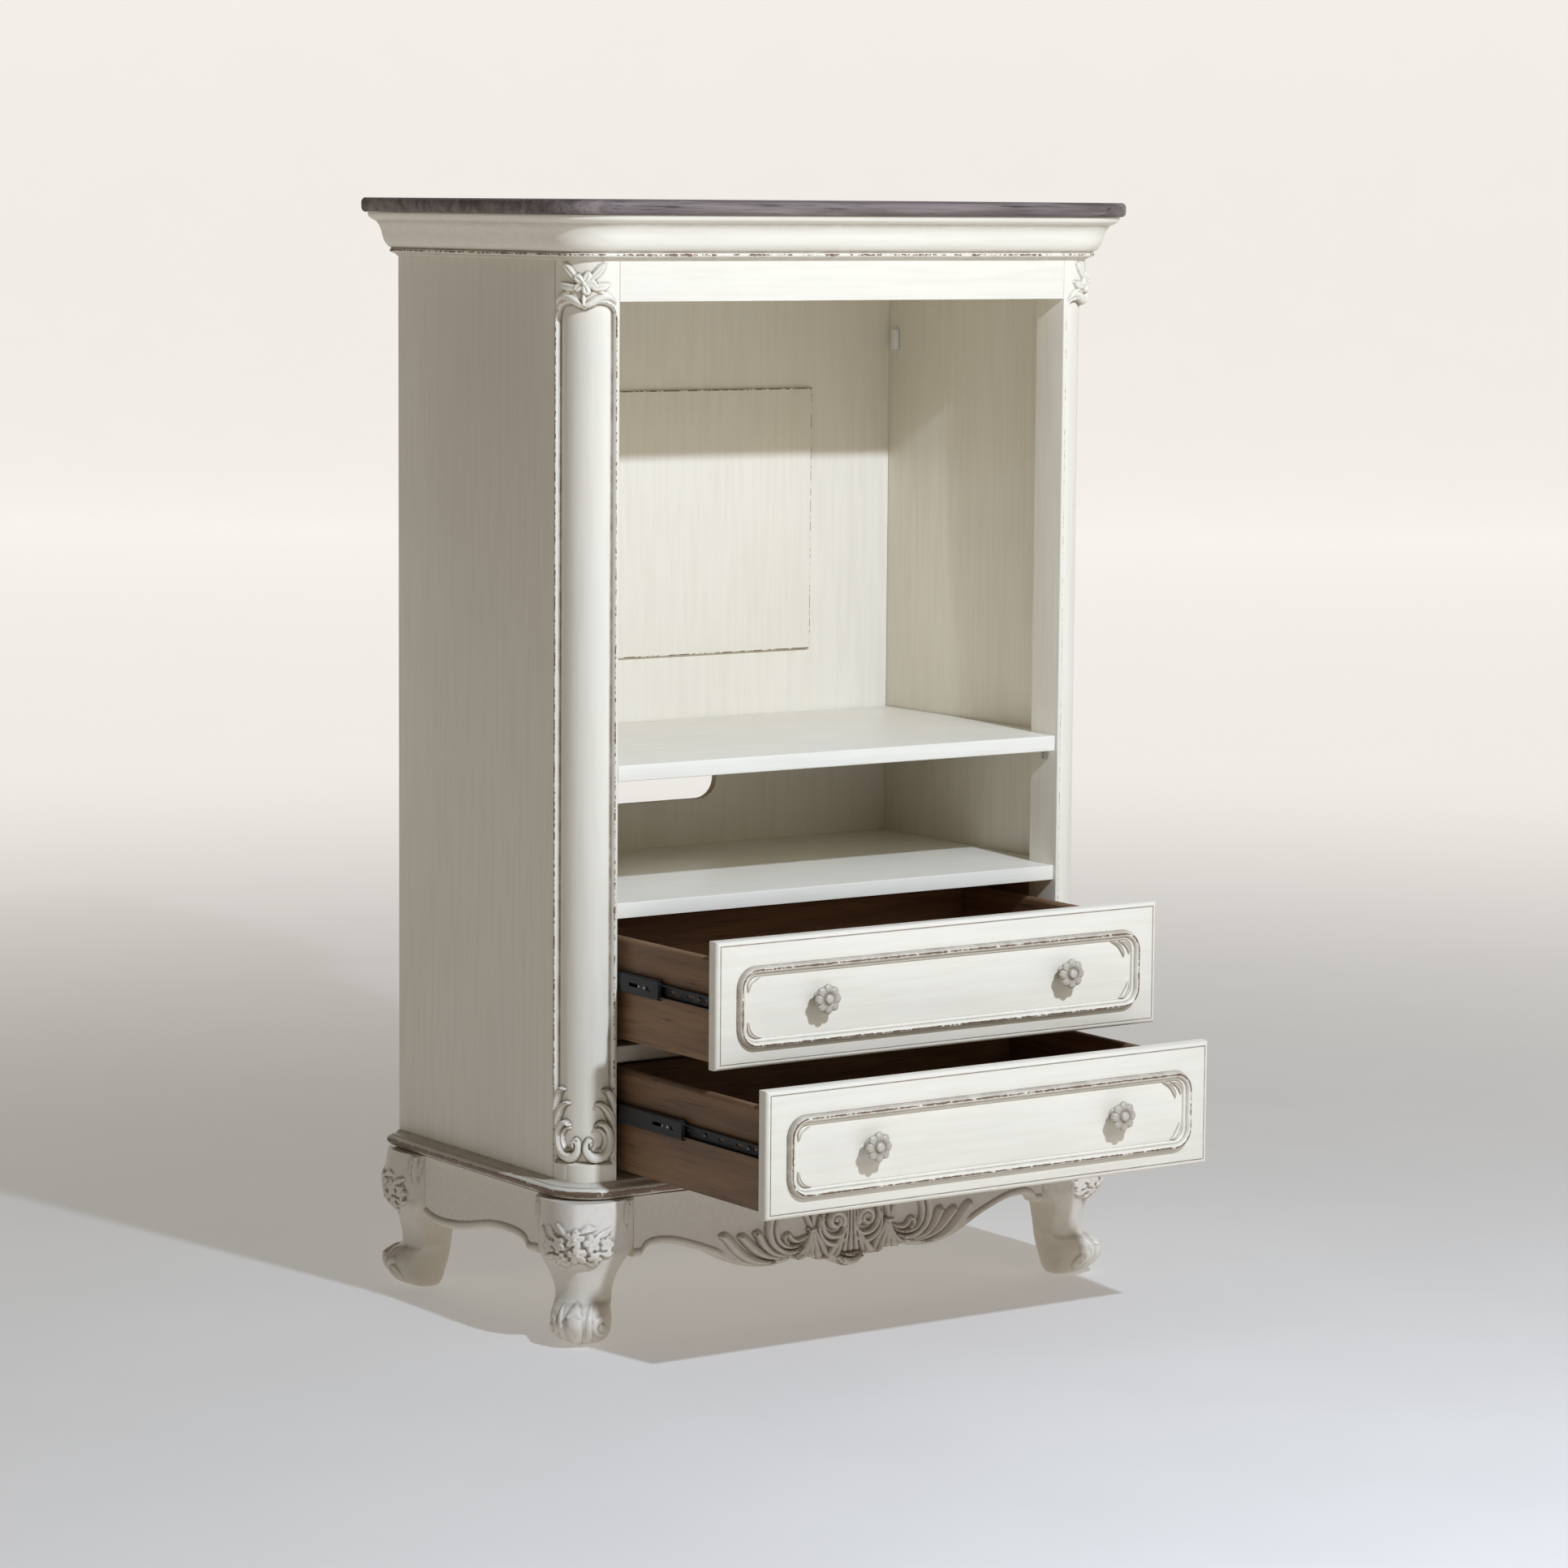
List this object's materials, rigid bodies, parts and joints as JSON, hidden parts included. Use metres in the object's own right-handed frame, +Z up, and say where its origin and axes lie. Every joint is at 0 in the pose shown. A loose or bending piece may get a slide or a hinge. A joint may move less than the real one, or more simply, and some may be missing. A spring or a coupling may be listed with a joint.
{
  "type": "armoire",
  "caption": "Painted entertainment armoire with an open, shelved upper cabinet, drawers on telescopic slides below, a dark wooden top and carved cabriole legs.",
  "frame": {"origin": "on the floor, under the middle of the bounding box at rest, with both drawers standing open as at rest", "axes": "+X to the right as seen from the front, +Y to the back, +Z up"},
  "size_m": [0.989, 0.887, 1.55],
  "materials": {
    "antique_paint": "antique white satin paint over wood, faintly brushed, rubbed through to taupe and brown on beads and edges",
    "walnut_top": "dark grey-brown walnut stain, long grain, satin lacquer",
    "drawer_wood": "medium brown stained solid wood and plywood, clear satin",
    "black_slide_steel": "black zinc steel sheet, lightly greased",
    "support_steel": "bright plated steel",
    "white_clip": "moulded white plastic",
    "knob_paint": "taupe glazed paint on carved wood, darker in the hollows"
  },
  "bodies": {
    "root": {"top_slab": "walnut_top", "cornice_front": "antique_paint", "cornice_left": "antique_paint", "cornice_right": "antique_paint", "base_moulding": "antique_paint", "left_front_post": "antique_paint", "right_front_post": "antique_paint", "left_side_panel": "antique_paint", "right_side_panel": "antique_paint", "drawer_bay_top": "antique_paint", "bottom_board": "antique_paint", "inner_top_panel": "antique_paint", "adjustable_shelf": "antique_paint", "top_rail": "antique_paint", "drawer_divider_rail": "antique_paint", "back_panel": "antique_paint", "back_board": "antique_paint", "corner_clip": "white_clip", "shelf_support_front_left": "support_steel", "shelf_support_front_right": "support_steel", "shelf_support_back_left": "support_steel", "shelf_support_back_right": "support_steel", "front_left_leg": "antique_paint", "front_right_leg": "antique_paint", "back_right_leg": "antique_paint", "back_left_leg": "antique_paint", "front_apron": "antique_paint", "left_apron": "antique_paint", "right_apron": "antique_paint", "back_apron": "antique_paint", "left_slide_board": "drawer_wood", "right_slide_board": "drawer_wood", "upper_left_case_slide": "black_slide_steel", "upper_right_case_slide": "black_slide_steel", "lower_left_case_slide": "black_slide_steel", "lower_right_case_slide": "black_slide_steel"},
    "upper_drawer": {"upper_drawer_front": "antique_paint", "upper_drawer_front_moulding": "antique_paint", "upper_drawer_left_knob": "knob_paint", "upper_drawer_right_knob": "knob_paint", "upper_drawer_left_side": "drawer_wood", "upper_drawer_right_side": "drawer_wood", "upper_drawer_back": "drawer_wood", "upper_drawer_bottom": "drawer_wood", "upper_left_drawer_slide": "black_slide_steel", "upper_right_drawer_slide": "black_slide_steel"},
    "lower_drawer": {"lower_drawer_front": "antique_paint", "lower_drawer_front_moulding": "antique_paint", "lower_drawer_left_knob": "knob_paint", "lower_drawer_right_knob": "knob_paint", "lower_drawer_left_side": "drawer_wood", "lower_drawer_right_side": "drawer_wood", "lower_drawer_back": "drawer_wood", "lower_drawer_bottom": "drawer_wood", "lower_left_drawer_slide": "black_slide_steel", "lower_right_drawer_slide": "black_slide_steel"},
    "upper_middle_slides": {"upper_left_middle_slide": "black_slide_steel", "upper_right_middle_slide": "black_slide_steel"},
    "lower_middle_slides": {"lower_left_middle_slide": "black_slide_steel", "lower_right_middle_slide": "black_slide_steel"}
  },
  "joints": [
    {"name": "upper_drawer_travel", "type": "slide", "parent": "root", "child": "upper_drawer", "axis": [0, -1, 0], "range_m": [-0.236, 0.164]},
    {"name": "lower_drawer_travel", "type": "slide", "parent": "root", "child": "lower_drawer", "axis": [0, -1, 0], "range_m": [-0.355, 0.045]},
    {"name": "upper_telescope", "type": "slide", "parent": "root", "child": "upper_middle_slides", "axis": [0, -1, 0], "range_m": [-0.118, 0.082]},
    {"name": "lower_telescope", "type": "slide", "parent": "root", "child": "lower_middle_slides", "axis": [0, -1, 0], "range_m": [-0.1775, 0.0225]}
  ],
  "couplings": [
    {"joint": "upper_telescope", "follows": "upper_drawer_travel", "ratio": 0.5},
    {"joint": "lower_telescope", "follows": "lower_drawer_travel", "ratio": 0.5}
  ]
}
